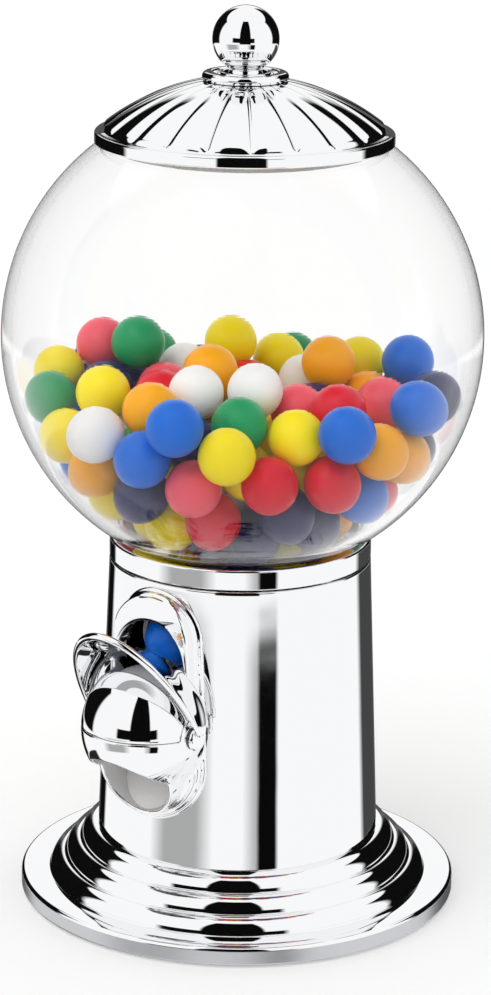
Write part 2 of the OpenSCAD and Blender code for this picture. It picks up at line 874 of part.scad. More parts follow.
module finial_disc() {
    edge = disc_h / 2;
    color(chrome) rotate_extrude() difference() {
        union() {
            translate([stud_r + 0.05, disc_z]) square([disc_r - edge - stud_r - 0.05, disc_h]);
            translate([disc_r - edge, disc_z + edge]) circle(edge);
        }
        translate([knob_neck_r + 0.6, disc_z + disc_h - 0.8])
            square([disc_r - knob_neck_r - 0.6 - edge, 2]);
    }
}

module finial_knob() {
    color(chrome) difference() {
        union() {
            translate([0, 0, knob_z]) sphere(knob_r);
            translate([0, 0, disc_z + disc_h + seat_gap]) cylinder(r = knob_neck_r, h = 3);
        }
        translate([0, 0, disc_z]) cylinder(r = stud_r + 0.02, h = disc_h + 9);
        translate([0, 0, disc_z - 1]) cylinder(r = knob_r, h = disc_h + 1 + seat_gap);
    }
}

module finial_stud() {
    color(steel) translate([0, 0, dome_top_z - stud_drop])
        cylinder(r = stud_r, h = stud_drop + disc_h + 8);
}

module finial_washer() {
    color(steel) tube(6.4, stud_r + 0.1, dome_in(0) - washer_t - 0.05, dome_in(0) - 0.05);
}

module finial_nut() {
    color(steel) translate([0, 0, dome_in(0) - washer_t - 0.1 - nut_h]) difference() {
        cylinder(r = 4, h = nut_h, $fn = 6);
        translate([0, 0, -1]) cylinder(r = stud_r + 0.02, h = nut_h + 2);
    }
}

// ---- gumballs ----

ball_space = 2 * ball_r + ball_gap;
ball_zone = glass_r - ball_r - ball_gap;
hole_zone = neck_r - ball_r - ball_gap;
rim_z = globe_z - sqrt(pow(glass_r, 2) - pow(neck_r, 2));
feed_slope = atan((hopper_z - throat_z + throat_r) / (neck_r + throat_y));

// Lowest height of a gumball's centre at x, y over the glass or the neck
function floor_z(x, y) = let (r = norm([x, y]))
    r < hole_zone ? neck_z + ball_r / 3 :
    r < neck_r * ball_zone / glass_r ?
        rim_z + sqrt(pow(ball_r + ball_gap, 2) - pow(neck_r - r, 2)) :
        globe_z - sqrt(pow(ball_zone, 2) - r * r);

// Height at which a gumball that comes down at x, y meets the ones below
function drop_z(x, y, balls) = norm([x, y]) > ball_zone - 2 ? big :
    max([floor_z(x, y), for (b = balls)
        let (d = pow(b[0] - x, 2) + pow(b[1] - y, 2))
        if (d < ball_space * ball_space) b[2] + sqrt(ball_space * ball_space - d)]);

// Rolls a gumball downhill until it stops
function settle(x, y, z, balls, reach, n) = n == 0 || z >= big ? [x, y, z] :
    let (tries = [for (a = [0 : 60 : 300])
            let (u = x + reach * cos(a), v = y + reach * sin(a)) [drop_z(u, v, balls), u, v]],
        low = min([for (t = tries) t[0]]),
        best = [for (t = tries) if (t[0] == low) t][0])
    low < z - 0.001 ? settle(best[1], best[2], low, balls, reach, n - 1)
        : settle(x, y, z, balls, reach / 2, n - 1);

// Lets gumball i fall at the lowest of eight places
function fall(i, balls) =
    let (q = rands(0, 1, 16, i + 100),
        tries = [for (k = [0 : 7])
            let (r = (ball_zone - 3) * sqrt(q[2 * k]), a = 360 * q[2 * k + 1])
            [drop_z(r * cos(a), r * sin(a), balls), r * cos(a), r * sin(a)]],
        low = min([for (t = tries) t[0]]),
        best = [for (t = tries) if (t[0] == low) t][0])
    settle(best[1], best[2], low, balls, ball_r / 2, 14);

function pile(n, balls, i = 0) =
    i == n ? balls : pile(n, concat(balls, [fall(i, balls)]), i + 1);

// The row of gumballs that waits on the hopper's floor, from the gate back
feed_balls = 4;
first_ball_y = throat_y - 0.2;
first_ball_z = throat_z - throat_r + ball_r + 0.7;
function feed_row() = [for (i = [0 : feed_balls - 1])
    let (s = i * (ball_space + 0.05))
    [0, -first_ball_y + s * cos(feed_slope), first_ball_z + s * sin(feed_slope)]];

// Order in which the colours come up
colour_order = [0, 1, 2, 0, 3, 4, 0, 5, 6, 2, 1, 0, 7, 3, 4, 0, 2, 5, 1, 0, 6, 3, 0, 2, 4, 7, 5];
feed_colours = [7, 1, 6, 0];
function colour_of(i) = i < feed_balls ? feed_colours[i]
    : colour_order[(i * 5 + floor(i / 9)) % len(colour_order)];

module gumballs(kind, shade) {
    all = pile(ball_count, feed_row());
    color(shade) for (i = [0 : len(all) - 1]) if (colour_of(i) == kind)
        translate(all[i]) sphere(ball_r);
}

module gumballs_yellow() gumballs(0, [0.98, 0.86, 0.05]);
module gumballs_white() gumballs(1, [0.93, 0.93, 0.92]);
module gumballs_green() gumballs(2, [0.04, 0.55, 0.30]);
module gumballs_pink() gumballs(3, [0.93, 0.38, 0.42]);
module gumballs_navy() gumballs(4, [0.09, 0.10, 0.30]);
module gumballs_orange() gumballs(5, [0.98, 0.62, 0.05]);
module gumballs_red() gumballs(6, [0.82, 0.07, 0.16]);
module gumballs_blue() gumballs(7, [0.05, 0.33, 0.75]);

base_casting();
base_plate();
rubber_feet();
base_screws();
column_screws();
column_shell();
collar_ring();
collar_screws();
hopper();
globe_lock_ring();
globe_gasket();
globe();
spout_body();
spout_front_cover();
spout_screws();
outlet_slide();
pivot_bushes();
pivot_pins();
dispensing_gate();
lever();
return_spring();
lid_band();
lid_dome();
lid_liner();
lid_gasket();
finial_disc();
finial_knob();
finial_stud();
finial_washer();
finial_nut();
gumballs_yellow();
gumballs_white();
gumballs_green();
gumballs_pink();
gumballs_navy();
gumballs_orange();
gumballs_red();
gumballs_blue();
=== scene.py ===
import math
from functools import lru_cache

import bpy
import numpy as np
from mathutils import Matrix, Vector


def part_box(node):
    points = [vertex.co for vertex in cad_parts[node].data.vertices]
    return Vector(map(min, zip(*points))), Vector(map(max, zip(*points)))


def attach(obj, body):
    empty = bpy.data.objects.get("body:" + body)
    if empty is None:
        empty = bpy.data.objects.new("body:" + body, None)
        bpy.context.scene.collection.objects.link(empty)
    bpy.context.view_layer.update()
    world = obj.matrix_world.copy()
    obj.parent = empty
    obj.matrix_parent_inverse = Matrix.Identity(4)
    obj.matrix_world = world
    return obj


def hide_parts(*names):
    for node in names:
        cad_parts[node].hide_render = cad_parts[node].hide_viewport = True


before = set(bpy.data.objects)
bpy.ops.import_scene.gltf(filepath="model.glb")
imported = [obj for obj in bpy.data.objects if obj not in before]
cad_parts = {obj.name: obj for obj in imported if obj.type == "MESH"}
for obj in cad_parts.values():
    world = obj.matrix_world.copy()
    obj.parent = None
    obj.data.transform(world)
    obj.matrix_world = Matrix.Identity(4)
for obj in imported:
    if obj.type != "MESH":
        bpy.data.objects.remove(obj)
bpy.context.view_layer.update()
MM = 0.001                               # sizes are in millimetres where nothing else is said

# ---- the camera, as fitted to the photograph ----

CAMERA_AZIMUTH = math.radians(37.0)      # the spout's side faces -Y
CAMERA_PITCH = math.radians(16.026)
CAMERA_ROLL = math.radians(0.657)
CAMERA_SIDE = 1.371 * MM                 # sideways, back and up from the object's origin
CAMERA_BACK = 933.48 * MM
CAMERA_HEIGHT = 389.28 * MM
IMAGE_SIZE = (491, 995)
FOCAL_PX = 3300
SENSOR = 36.0


def turned(x, y, z=0.0):
    """A point given in the camera's own heading, turned into the object's frame."""
    c, s = math.cos(CAMERA_AZIMUTH), math.sin(CAMERA_AZIMUTH)
    return Vector((c * x - s * y, s * x + c * y, z))


def make_camera():
    data = bpy.data.cameras.new("camera")
    data.sensor_width = SENSOR
    data.sensor_fit = "AUTO"
    data.lens = FOCAL_PX * SENSOR / max(IMAGE_SIZE)
    data.clip_start = 0.01
    camera = bpy.data.objects.new("camera", data)
    forward = turned(0, math.cos(CAMERA_PITCH), -math.sin(CAMERA_PITCH))
    right = turned(1, 0)
    up = right.cross(forward)
    c, s = math.cos(CAMERA_ROLL), math.sin(CAMERA_ROLL)
    axis_x = c * right + s * up
    axis_y = -s * right + c * up
    turn = Matrix((axis_x, axis_y, -forward)).transposed().to_4x4()
    camera.matrix_world = Matrix.Translation(turned(CAMERA_SIDE, -CAMERA_BACK, CAMERA_HEIGHT)) @ turn
    bpy.context.scene.collection.objects.link(camera)
    bpy.context.scene.camera = camera


make_camera()
scene = bpy.context.scene
scene.view_settings.view_transform = "Standard"


# ---- node helpers ----

class Nodes:
    """Short calls for building one material's or world's node tree."""

    def __init__(self, tree):
        self.tree = tree
        tree.nodes.clear()

    def add(self, kind, inputs=None, **settings):
        node = self.tree.nodes.new(kind)
        for key, value in settings.items():
            setattr(node, key, value)
        for key, value in (inputs or {}).items():
            self.put(node, key, value)
        return node

    def put(self, node, key, value):
        socket = node.inputs[key]
        if isinstance(value, bpy.types.NodeSocket):
            self.tree.links.new(value, socket)
        else:
            socket.default_value = value

    def math(self, operation, a, b=0.0, c=0.0, clamp=False):
        node = self.add("ShaderNodeMath", operation=operation, use_clamp=clamp)
        for i, value in enumerate((a, b, c)):
            self.put(node, i, value)
        return node.outputs[0]

    def mix(self, factor, a, b):
        node = self.add("ShaderNodeMix", data_type="RGBA")
        self.put(node, 0, factor)
        self.put(node, 6, a)
        self.put(node, 7, b)
        return node.outputs[2]

    def ramp(self, rise, soft):
        """0 up to a rise of nothing, then up to 1 over soft with a rounded shoulder."""
        share = self.math("DIVIDE", rise, soft)
        return self.math("MAXIMUM", self.math("SMOOTH_MIN", share, 1.0, 0.2), 0.0)

    def band(self, value, low, high, soft):
        """1 between low and high, falling to 0 over the last soft before either end."""
        up = self.ramp(self.math("SUBTRACT", value, low), soft)
        down = self.ramp(self.math("SUBTRACT", high, value), soft)
        return self.math("MULTIPLY", up, down, clamp=True)


def material(name):
    mat = bpy.data.materials.new(name)
    mat.use_nodes = True
    return mat, Nodes(mat.node_tree)


def finish_material(n, surface):
    n.add("ShaderNodeOutputMaterial", {"Surface": surface})


def chrome_material(name):
    mat, n = material(name)
    coords = n.add("ShaderNodeTexCoord").outputs["Object"]
    ripple = n.add("ShaderNodeTexNoise", {"Vector": coords, "Scale": 60.0, "Detail": 1.0})
    smudge = n.add("ShaderNodeTexNoise", {"Vector": coords, "Scale": 240.0, "Detail": 4.0})
    bump = n.add("ShaderNodeBump", {"Height": ripple.outputs[0], "Strength": 0.02, "Distance": 0.002})
    rough = n.math("MULTIPLY_ADD", smudge.outputs[0], 0.03, 0.015)
    shader = n.add("ShaderNodeBsdfPrincipled", {
        "Base Color": (0.93, 0.935, 0.945, 1), "Metallic": 1.0, "Roughness": rough,
        "Normal": bump.outputs[0]})
    finish_material(n, shader.outputs[0])
    return mat


def steel_material(name, colour, roughness):
    mat, n = material(name)
    coords = n.add("ShaderNodeTexCoord").outputs["Object"]
    grain = n.add("ShaderNodeTexNoise", {"Vector": coords, "Scale": 900.0, "Detail": 3.0})
    rough = n.math("MULTIPLY_ADD", grain.outputs[0], 0.12, roughness)
    shader = n.add("ShaderNodeBsdfPrincipled", {"Base Color": colour, "Metallic": 1.0, "Roughness": rough})
    finish_material(n, shader.outputs[0])
    return mat


def plastic_material(name, colour, roughness=0.35):
    mat, n = material(name)
    coords = n.add("ShaderNodeTexCoord").outputs["Object"]
    grain = n.add("ShaderNodeTexNoise", {"Vector": coords, "Scale": 1500.0, "Detail": 2.0})
    bump = n.add("ShaderNodeBump", {"Height": grain.outputs[0], "Strength": 0.15, "Distance": 0.0001})
    shade = n.mix(n.math("MULTIPLY", grain.outputs[0], 0.12), colour, (0.5, 0.5, 0.5, 1))
    shader = n.add("ShaderNodeBsdfPrincipled", {
        "Base Color": shade, "Roughness": roughness, "Normal": bump.outputs[0]})
    finish_material(n, shader.outputs[0])
    return mat


def glass_material(name):
    mat, n = material(name)
    coords = n.add("ShaderNodeTexCoord").outputs["Object"]
    wave = n.add("ShaderNodeTexNoise", {"Vector": coords, "Scale": 14.0, "Detail": 1.0})
    bump = n.add("ShaderNodeBump", {"Height": wave.outputs[0], "Strength": 0.03, "Distance": 0.003})
    shader = n.add("ShaderNodeBsdfPrincipled", {
        "Base Color": (1, 1, 1, 1), "Roughness": 0.0, "IOR": 1.46, "Transmission Weight": 1.0,
        "Specular Tint": (0.2, 0.2, 0.2, 1), "Normal": bump.outputs[0]})
    shadow = n.add("ShaderNodeLightPath").outputs["Is Shadow Ray"]
    clear = n.add("ShaderNodeBsdfTransparent", {"Color": (0.96, 0.96, 0.96, 1)})
    surface = n.add("ShaderNodeMixShader", {0: shadow, 1: shader.outputs[0], 2: clear.outputs[0]})
    finish_material(n, surface.outputs[0])
    return mat


def candy_material(name, colour):
    """Candy shell: even colour, faintly mottled and dimpled, under a thin glaze."""
    mat, n = material(name)
    coords = n.add("ShaderNodeTexCoord").outputs["Object"]
    mottle = n.add("ShaderNodeTexNoise", {"Vector": coords, "Scale": 160.0, "Detail": 3.0})
    pits = n.add("ShaderNodeTexNoise", {"Vector": coords, "Scale": 420.0, "Detail": 2.0})
    pale = tuple(c * 0.95 + 0.015 for c in colour[:3]) + (1,)
    tone = n.math("MULTIPLY_ADD", mottle.outputs[0], 1.6, -0.62, clamp=True)
    bump = n.add("ShaderNodeBump", {"Height": pits.outputs[0], "Strength": 0.03, "Distance": 0.0006})
    shader = n.add("ShaderNodeBsdfPrincipled", {
        "Base Color": n.mix(tone, colour, pale), "Roughness": 0.3, "Normal": bump.outputs[0],
        "Specular IOR Level": 0.25, "Coat Weight": 0.1, "Coat Roughness": 0.12, "Subsurface Weight": 0.06,
        "Subsurface Radius": (0.004, 0.002, 0.001), "Subsurface Scale": 0.3})
    finish_material(n, shader.outputs[0])
    return mat


CANDY = {
    "yellow": (1.0, 0.8, 0.0, 1), "white": (0.92, 0.91, 0.89, 1), "green": (0.0, 0.3, 0.1, 1),
    "pink": (0.9, 0.1, 0.14, 1), "navy": (0.008, 0.012, 0.1, 1), "orange": (1.0, 0.42, 0.0, 1),
    "red": (0.72, 0.0, 0.02, 1), "blue": (0.0, 0.15, 0.7, 1)}

CHROME = chrome_material("chrome")
SATIN = steel_material("satin_edge", (0.62, 0.63, 0.65, 1), 0.25)
STEEL = steel_material("zinc_plated_steel", (0.6, 0.6, 0.62, 1), 0.3)
PLASTIC = plastic_material("pale_plastic", (0.84, 0.83, 0.82, 1))
RUBBER = plastic_material("black_rubber", (0.02, 0.02, 0.02, 1), 0.6)
SILICONE = plastic_material("pale_silicone", (0.85, 0.85, 0.84, 1), 0.4)
GLASS = glass_material("clear_glass")


# ---- mesh helpers ----

SAME = 1e-4                # points nearer than this are one
AXIS_R = 0.01              # radius of the pinhole that a turned outline leaves on its axis


def make_piece(name, points, faces, mat, body, replaced):
    mesh = bpy.data.meshes.new(name)
    mesh.from_pydata((np.asarray(points, float) * MM).tolist(), [], faces)
    mesh.validate()
    mesh.update()
    mesh.polygons.foreach_set("use_smooth", [True] * len(mesh.polygons))
    mesh.materials.append(mat)
    piece = bpy.data.objects.new(name, mesh)
    bpy.context.scene.collection.objects.link(piece)
    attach(piece, body)
    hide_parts(*replaced)
    return piece


def arc(cx, cz, r, a0, a1, n=8):
    """Points of an arc in the r, z plane, from angle a0 to a1 in degrees."""
    angles = np.radians(np.linspace(a0, a1, n + 1))
    return [(cx + r * math.cos(a), cz + r * math.sin(a)) for a in angles]


def held(profile, closed, near=0.03, shortest=0.6):
    """The outline with a point near each end of its straight runs, which keeps them flat."""
    found = []
    ends = profile[1:] + profile[:1]
    for i, (a, b) in enumerate(zip(profile, ends)):
        found.append(a)
        length = math.dist(a, b)
        if length > shortest and (closed or i < len(profile) - 1):
            for t in (near / length, 1 - near / length):
                found.append((a[0] + (b[0] - a[0]) * t, a[1] + (b[1] - a[1]) * t))
    return found


def skin(rows, around, closed=True):
    """Quads between rings of points; closed joins the last ring to the first."""
    faces = []
    for j in range(rows if closed else rows - 1):
        k = (j + 1) % rows
        for i in range(around):
            e = (i + 1) % around
            faces.append((j * around + i, j * around + e, k * around + e, k * around + i))
    return faces


def lathe_data(profile, segments=256, closed=True):
    """Points and quads of an outline in the r, z plane turned round Z."""
    profile = [p for i, p in enumerate(profile) if i == 0 or math.dist(p, profile[i - 1]) > SAME]
    if closed and math.dist(profile[0], profile[-1]) < SAME:
        profile.pop()
    profile = held(profile, closed)
    angles = np.arange(segments) * 2 * math.pi / segments
    points = [(r * math.cos(a), r * math.sin(a), z) for r, z in profile for a in angles]
    return points, skin(len(profile), segments, closed)


def apply_modifiers(piece):
    bpy.context.view_layer.update()
    graph = bpy.context.evaluated_depsgraph_get()
    mesh = bpy.data.meshes.new_from_object(piece.evaluated_get(graph))
    piece.modifiers.clear()
    piece.data = mesh


def lathe(name, profile, mat, body, replaced, segments=256):
    points, faces = lathe_data(profile, segments)
    return make_piece(name, points, faces, mat, body, replaced)


@lru_cache(maxsize=None)
def corners_mm(node):
    return [[v / MM for v in corner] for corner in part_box(node)]


def top_mm(node):
    return corners_mm(node)[1][2]


def low_mm(node):
    return corners_mm(node)[0][2]


def radius_mm(node):
    return corners_mm(node)[1][0]


# ---- base ----

STEP = 4.7                 # rise and tread of each rounded step
STEPS = 3
STEPS_IN_R = 42.4          # where the top step meets the column
FLANGE_TOP = 6.0
FLANGE_ROUND = 1.1
FLANGE_FOOT = 0.5          # rounding at its lower edge
BASE_WALL = 2.2
BASE_HOLE_R = 30.0
GROOVE = 0.35              # radius in the corner between two steps
SATIN_IN, SATIN_DOWN = 0.15, 0.9   # how far in from the flange's edge, and below its top


def base_outline():
    """The hollow casting's outline: flange, rounded steps, then its inside back down."""
    edge_r = radius_mm("base_casting")
    low, top = low_mm("base_casting"), top_mm("base_casting")
    points = [(edge_r - BASE_WALL, low), (edge_r - FLANGE_FOOT, low)]
    points += arc(edge_r - FLANGE_FOOT, low + FLANGE_FOOT, FLANGE_FOOT, -90, 0, 4)
    points += arc(edge_r - FLANGE_ROUND, FLANGE_TOP - FLANGE_ROUND, FLANGE_ROUND, 0, 90, 10)
    for i in range(STEPS):
        r = STEPS_IN_R + (STEPS - i) * STEP
        z = FLANGE_TOP + i * STEP
        points += arc(r + GROOVE, z + GROOVE, GROOVE, 270, 180, 5)
        points += arc(r - STEP, z, STEP, 8, 88, 22)
    points += [(BASE_HOLE_R, top), (BASE_HOLE_R, top - BASE_WALL)]
    for i in reversed(range(STEPS)):
        r = STEPS_IN_R + (STEPS - i) * STEP - STEP / 2 - BASE_WALL
        z = FLANGE_TOP + (i + 1) * STEP - BASE_WALL
        points += [(r, z), (r, z - STEP if i else FLANGE_TOP - BASE_WALL)]
    points += [(edge_r - BASE_WALL, FLANGE_TOP - BASE_WALL)]
    return points


def make_base():
    base = lathe("base", base_outline(), CHROME, "frame", ["base_casting"], 384)
    base.data.materials.append(SATIN)
    edge_r = radius_mm("base_casting")
    for face in base.data.polygons:
        x, y, z = face.center / MM
        if math.hypot(x, y) > edge_r - SATIN_IN and z < FLANGE_TOP - SATIN_DOWN:
            face.material_index = 1


make_base()

# ---- column and collar ----

COLUMN_FOOT_R = 42.0
COLUMN_TOP_R = 38.6
COLUMN_WALL = 1.6
COLUMN_LIP = 0.4           # rounding at the top edge
WINDOW_Z = 81.6            # heights of the centres of the spout opening's round ends
OPENING_LOW_Z = 50.1
OPENING_R = 14.1           # its stepped edge lies behind the spout's plate
SEAM_Z = 104.5             # underside of the collar's outer wall
COLLAR_R = COLUMN_TOP_R
COLLAR_WALL = 2.2
COLLAR_ROUND = 0.8
COLLAR_EDGE = 0.35
COLLAR_HOLE_R = 27.9
COLLAR_FLOOR = (-2.5, 1.0)  # its lower and upper side, from the seam
SPIGOT_WALL = 2.5


def opening_distance(x, z, r):
    """Distance outside the spout's opening in the column, with ends of radius r."""
    return np.hypot(x, z - np.clip(z, OPENING_LOW_Z, WINDOW_Z)) - r


def make_column():
    """The tapered column, its wall grown inward round the opening for the spout."""
    z0, z1 = low_mm("column_shell"), top_mm("column_shell")
    rise, widening = z1 - z0, COLUMN_TOP_R - COLUMN_FOOT_R
    turns, rows = 512, 150
    shares = [0.0, *np.linspace(0.001, 0.993, rows)]
    outline = [(COLUMN_FOOT_R + widening * t, z0 + rise * t) for t in shares]
    outline += arc(COLUMN_TOP_R - COLUMN_LIP, z1 - COLUMN_LIP, COLUMN_LIP, 5, 90, 5)
    points, faces = lathe_data(outline, turns, closed=False)
    kept = []
    for face in faces:
        x, y, z = np.mean([points[i] for i in face], axis=0)
        if y > 0 or opening_distance(x, z, OPENING_R) > 0:
            kept.append(face)
    piece = make_piece("column", points, kept, CHROME, "frame", ["column_shell"])
    shell = piece.modifiers.new("wall", "SOLIDIFY")
    shell.thickness = COLUMN_WALL * MM
    shell.offset = -1
    apply_modifiers(piece)


def make_collar():
    """The ring that the globe rests in, with a floor and a spigot that enters the column."""
    z0, z1 = low_mm("collar_ring"), top_mm("collar_ring")
    inner = COLLAR_R - COLLAR_WALL
    spigot_r = inner + 0.3
    low, high = SEAM_Z + COLLAR_FLOOR[0], SEAM_Z + COLLAR_FLOOR[1]
    points = arc(COLLAR_R - COLLAR_EDGE, SEAM_Z + COLLAR_EDGE, COLLAR_EDGE, -90, 0, 4)
    points += arc(COLLAR_R - COLLAR_ROUND, z1 - COLLAR_ROUND, COLLAR_ROUND, 0, 90, 10)
    points += [(inner + 0.25, z1), (inner + 0.05, z1 - 0.2), (inner, high)]
    points += [(COLLAR_HOLE_R, high), (COLLAR_HOLE_R, low)]
    points += [(spigot_r - SPIGOT_WALL, low), (spigot_r - SPIGOT_WALL, z0)]
    points += [(spigot_r, z0), (spigot_r, SEAM_Z)]
    return lathe("collar", points, CHROME, "frame", ["collar_ring"], 384)


make_column()
make_collar()

# ---- globe ----

GLASS_T = 2.8
MOUTH_R = 37.0
NECK_R = 25.0
NECK_WALL = 2.8
NECK_ROUND = 0.4


def fit_sphere_z(node):
    """Centre height and radius of the sphere on which a node's outer surface lies."""
    co = np.array([v.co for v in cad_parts[node].data.vertices]) / MM
    radius = radius_mm(node)
    r2 = co[:, 0] ** 2 + co[:, 1] ** 2
    z = co[:, 2]
    centres = np.arange(150, 190, 0.02)
    hits = [(np.abs(np.sqrt(r2 + (z - centre) ** 2) - radius) < 0.01).sum() for centre in centres]
    return centres[int(np.argmax(hits))], radius


def make_globe():
    globe_z, outer = fit_sphere_z("globe")
    inner = outer - GLASS_T
    neck = NECK_R + NECK_WALL
    z0 = low_mm("globe")

    def edge(r, sphere):
        """Angle above or below the middle at which the sphere is r wide."""
        return math.degrees(math.acos(r / sphere))

    points = arc(0, globe_z, outer, edge(MOUTH_R, outer), -edge(neck, outer), 180)
    points += [(neck, z0 + NECK_ROUND), (neck - NECK_ROUND, z0)]
    points += [(NECK_R + NECK_ROUND, z0), (NECK_R, z0 + NECK_ROUND)]
    points += arc(0, globe_z, inner, -edge(NECK_R, inner), edge(MOUTH_R, inner), 180)
    points.reverse()                     # so that the glass's faces look outward
    return lathe("globe_glass", points, GLASS, "frame", ["globe"])


make_globe()

# ---- lid and finial ----

LID_R = 43.0
BAND_WALL = 2.6
DOME_R = 41.7
DOME_T = 1.0
RIM_T = 0.2                        # the dome's flat rim round the lobes
FLUTES = 20
FLUTE_DEPTH = 1.5
FLUTE_TURN = math.radians(4.0)     # where one groove lies, from the X axis
LOBE_R = 40.4                      # where the lobes end, inside the flat rim
LOBE_END = 0.5                     # rounding of the lobes' ends
LOBE_FLAT, LOBE_STEEP = 3.2, 0.75  # powers that flatten a lobe's crest and steepen its sides
DISC_R = 12.4
STUD_HOLE_R = 2.1


def dome_surface(r, angle):
    """Height of the fluted dome: lobes that get steeper towards the grooves between them."""
    z0 = top_mm("lid_band") + RIM_T
    rise = top_mm("lid_dome") - z0 - FLUTE_DEPTH
    sphere = math.hypot(rise / 2 + (LOBE_R ** 2 - DISC_R ** 2) / 2 / rise, DISC_R)
    cap = math.sqrt(sphere ** 2 - min(max(r, DISC_R), LOBE_R) ** 2) - math.sqrt(sphere ** 2 - LOBE_R ** 2)
    across = abs((((angle - FLUTE_TURN) * FLUTES / 2 / math.pi) + 0.5) % 1 - 0.5) * 2
    lobe = (1 - (1 - across) ** LOBE_FLAT) ** LOBE_STEEP
    share = min(max((r - DISC_R) / (LOBE_R - DISC_R), 0), 1)
    end = min(max((LOBE_R - r) / LOBE_END, 0), 1)
    top = FLUTE_DEPTH * (1 - (1 - end) ** 2) ** 0.5
    depth = FLUTE_DEPTH * (0.25 + 0.75 * share) if r > DISC_R else 0
    return z0 + cap + max(top - depth * (1 - lobe), 0.05)


def make_dome():
    z0 = top_mm("lid_band")
    around = FLUTES * 30
    ends = [LOBE_R - LOBE_END * t for t in (0.0, 0.04, 0.12, 0.25, 0.45, 0.7, 1.0)]
    radii = ends + list(np.linspace(ends[-1], DISC_R + 0.3, 56))[1:] + [DISC_R - 1, DISC_R - 4]
    angles = np.arange(around) * 2 * math.pi / around + FLUTE_TURN
    rim = [(DOME_R, 0.02), (DOME_R, 0.12), (DOME_R - 0.08, RIM_T), (LOBE_R + 0.05, RIM_T)]
    rows = [[(r * math.cos(a), r * math.sin(a), z0 + z) for a in angles] for r, z in rim]
    for r in radii:
        rows.append([(r * math.cos(a), r * math.sin(a), dome_surface(r, a)) for a in angles])
    inner_r = LOBE_R - 1.2
    for r in (DISC_R - 4, DISC_R, 25, 35, inner_r):
        low = dome_surface(min(max(r, DISC_R), inner_r), FLUTE_TURN) - DOME_T
        rows.append([(r * math.cos(a), r * math.sin(a), max(low, z0 + 0.02)) for a in angles])
    points = [p for row in rows for p in row]
    return make_piece("fluted_dome", points, skin(len(rows), around), CHROME, "lid", ["lid_dome"])


def make_band():
    z0, z1 = low_mm("lid_band"), top_mm("lid_band")
    inner = LID_R - BAND_WALL
    low_round, high_round, bevel = 0.5, 0.7, 0.4
    points = arc(LID_R - low_round, z0 + low_round, low_round, -90, 0, 5)
    points += arc(LID_R - high_round, z1 - high_round, high_round, 0, 90, 8)
    points += [(inner, z1), (inner, z0 + bevel), (inner + bevel, z0)]
    return lathe("lid_rim", points, CHROME, "lid", ["lid_band"], 384)


def make_disc():
    """The finial's disc: a round edge, a shallow recess and a raised ring in it."""
    z0, z1 = low_mm("finial_disc"), top_mm("finial_disc")
    half = (z1 - z0) / 2
    flat_r = radius_mm("finial_disc") - half
    shoulder, ring_mid, ring_half, recess = 0.9, 6.7, 0.75, 0.8
    points = [(STUD_HOLE_R, z0), (flat_r, z0)] + arc(flat_r, z0 + half, half, -90, 90, 24)
    points += arc(flat_r - shoulder, z1 - shoulder, shoulder, 90, 150, 6)
    points += [(flat_r - 2.6, z1 - 0.85), (8.0, z1 - recess)]
    points += arc(ring_mid, z1 - ring_half, ring_half, 0, 180, 10)
    points += [(5.2, z1 - recess), (STUD_HOLE_R, z1 - recess)]
    return lathe("finial_base", points, CHROME, "lid", ["finial_disc"])


def make_knob():
    """The finial's ball on a short flared neck, with the stud's blind hole."""
    z_disc, z_top = top_mm("finial_disc"), top_mm("finial_knob")
    r = radius_mm("finial_knob")
    middle = z_top - r
    neck, flare = 4.7, 1.0
    join = -math.degrees(math.acos((neck - 0.35) / r))
    points = [(STUD_HOLE_R, z_disc - 0.7), (neck + 0.6, z_disc - 0.7)]
    points += arc(neck + flare, z_disc + 0.35, flare, 230, 180, 5)
    points += arc(0, middle, r, join, 89.7, 90)
    points += [(2 * AXIS_R, z_top), (2 * AXIS_R, middle - r + 2), (STUD_HOLE_R, middle - r + 1.5)]
    return lathe("finial_ball", points, CHROME, "lid", ["finial_knob"])


make_dome()
make_band()
make_disc()
make_knob()

# ---- the spout, polygonised from a distance function with rounded edges ----

PIVOT_Y, PIVOT_Z = -43.98, 62.5
POD_R, POD_HALF, POD_WALL = 19.7, 17.6, 1.5
POD_FLAT = POD_R - POD_HALF
CAVITY_HALF = 12.4
SEAM_ANGLE, RIM_ANGLE, REAR_WAY_ANGLE = 3.0, 68.0, 128.0   # front cover, then the way in behind it
PLATE_LOW_R, PLATE_LOW_Z = 17.0, 50.4
PLATE_HIGH_R, PLATE_HIGH_Z = 14.6, 88.2
LAYERS, LAYER_H, LAYER_INSET = 3, 1.0, 1.2
HOOD_R, HOOD_LOW_Z = 14.2, 66.0
HOOD_Y, HOOD_Z = PIVOT_Y + 0.98 + HOOD_R, 92.8             # middle of its rounding
WINDOW_R = 12.0
TUBE_R = 13.4                                              # the tube behind the window
TUBE_FRONT_Y, TUBE_BACK_Y = -42.0, -32.0
OUTLET_R, OUTLET_WALL, OUTLET_LEN, OUTLET_BORE = 12.0, 1.1, 18.0, 14.0
OUTLET_Y, OUTLET_Z, OUTLET_TILT = PIVOT_Y - 5.62, 48.0, math.radians(17.0)
JAW_Z = 49.0
CHEEK_R = 6.0
THROAT_R, THROAT_Z, THROAT_FRONT_Y = 11.0, 86.1, -33.4     # room for the hopper's throat
COLUMN_GAP = 0.05
COVER_GAP = 0.1


def soft_max(a, b, k=0.35):
    """The greater of two distances, with a rounding of about k where they meet."""
    h = np.maximum(k - np.abs(a - b), 0.0) / k
    return np.maximum(a, b) + h * h * k * 0.25


def soft_min(a, b, k=0.35):
    return -soft_max(-a, -b, k)


